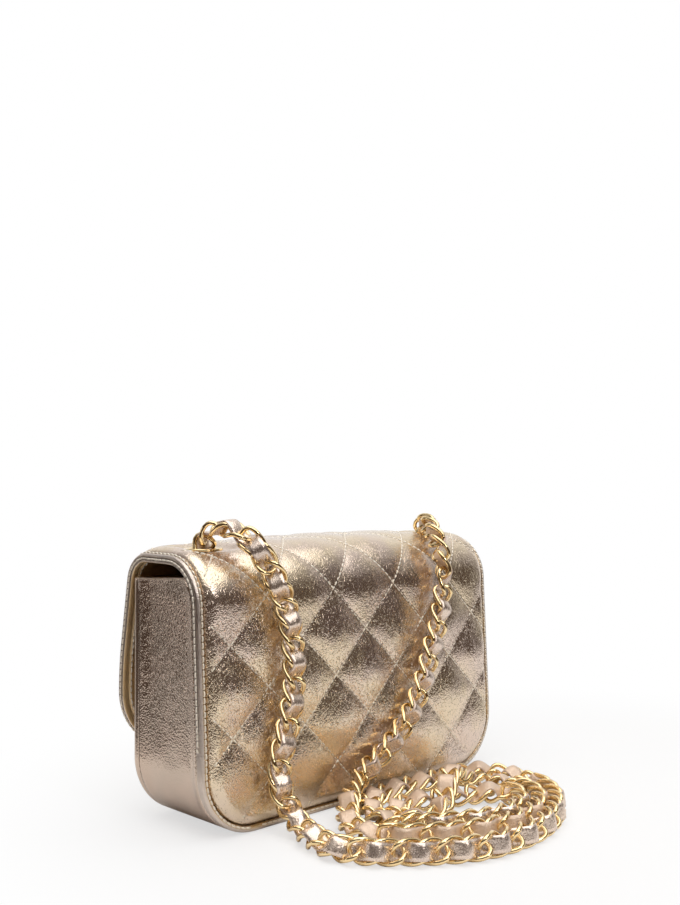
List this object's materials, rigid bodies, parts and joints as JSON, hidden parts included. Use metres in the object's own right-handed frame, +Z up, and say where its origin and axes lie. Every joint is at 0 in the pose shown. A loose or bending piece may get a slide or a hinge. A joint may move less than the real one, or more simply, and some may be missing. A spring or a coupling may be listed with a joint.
{
  "type": "crossbody bag",
  "caption": "Small box-shaped quilted flap bag with a turn lock and a chain-and-ribbon shoulder strap that lies in loops behind it.",
  "frame": {"origin": "on the floor under the middle of the bag's body, flap and lock; the strap is left aside", "axes": "+X across the bag's width towards its left side as seen from behind, +Y out of its back panel, +Z up; the flap hangs over the front, at -Y"},
  "size_m": [0.2, 0.1739, 0.1399],
  "materials": {
    "quilted_leather": "crinkled metallic foil, diamond quilted",
    "edge_leather": "metallic foil, folded and stitched",
    "plain_leather": "finely grained metallic foil",
    "lining_cloth": "plain weave",
    "gold_hardware": "polished pale gold plate",
    "strap": "polished pale gold links laced with metallic leather ribbon",
    "board": "uncoated board"
  },
  "bodies": {
    "bag_body": {"back_panel": "quilted_leather", "front_panel": "quilted_leather", "back_edge_band": "edge_leather", "front_edge_band": "edge_leather", "gusset": "plain_leather", "mouth_facing": "plain_leather", "anchor_tab_left": "plain_leather", "anchor_tab_right": "plain_leather", "lining": "lining_cloth", "inner_pocket": "lining_cloth", "crown_lining": "lining_cloth", "eyelet_left": "gold_hardware", "eyelet_right": "gold_hardware", "eyelet_washer_left": "gold_hardware", "eyelet_washer_right": "gold_hardware", "anchor_ring_left": "gold_hardware", "anchor_ring_right": "gold_hardware", "anchor_rivet_left": "gold_hardware", "anchor_rivet_right": "gold_hardware", "lock_base_plate": "gold_hardware", "lock_backing_plate": "gold_hardware", "base_screw_left": "gold_hardware", "base_screw_right": "gold_hardware", "strap_left_drop": "strap", "strap_loops": "strap", "strap_right_drop": "strap", "base_board": "board"},
    "flap": {"flap_leather": "quilted_leather", "flap_lining": "plain_leather", "flap_edge_band": "edge_leather", "lock_front_plate": "gold_hardware", "lock_rear_plate": "gold_hardware", "plate_screw_upper": "gold_hardware", "plate_screw_lower": "gold_hardware"},
    "knob": {"turn_knob": "gold_hardware"}
  },
  "joints": [
    {"name": "flap_hinge", "type": "hinge", "parent": "bag_body", "child": "flap", "pos_m": [0, -0.00798, 0.1303], "axis": [-1, 0, 0], "range_deg": [0, 125]},
    {"name": "lock_turn", "type": "hinge", "parent": "bag_body", "child": "knob", "pos_m": [0, -0.01868, 0.049], "axis": [0, -1, 0], "range_deg": [0, 90]}
  ]
}
